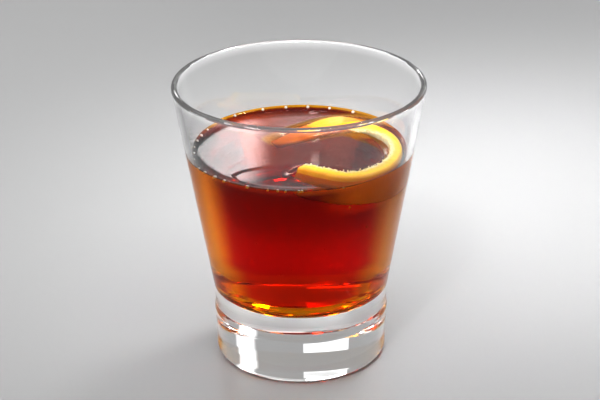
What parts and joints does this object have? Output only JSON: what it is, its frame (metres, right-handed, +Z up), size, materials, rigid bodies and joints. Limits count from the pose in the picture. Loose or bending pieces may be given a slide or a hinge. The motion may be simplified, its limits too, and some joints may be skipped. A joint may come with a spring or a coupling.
{
  "type": "old fashioned cocktail",
  "caption": "Amber cocktail in a clear conical tumbler with a heavy foot, garnished with a curled strip of orange peel.",
  "frame": {"origin": "centre of the foot, on the surface that the glass stands on", "axes": "+Z up along the glass's turning axis; -Y towards the viewer who sees the peel open to the left; +X towards the side the peel curls round"},
  "size_m": [0.0866, 0.0866, 0.1006],
  "materials": {
    "clear_glass": "clear, fire polished",
    "amber_liquid": "clear red-amber liquid",
    "orange_rind": "waxy zest outside, fibrous pith inside"
  },
  "bodies": {
    "root": {"tumbler": "clear_glass", "drink": "amber_liquid", "orange_peel": "orange_rind"}
  },
  "joints": []
}
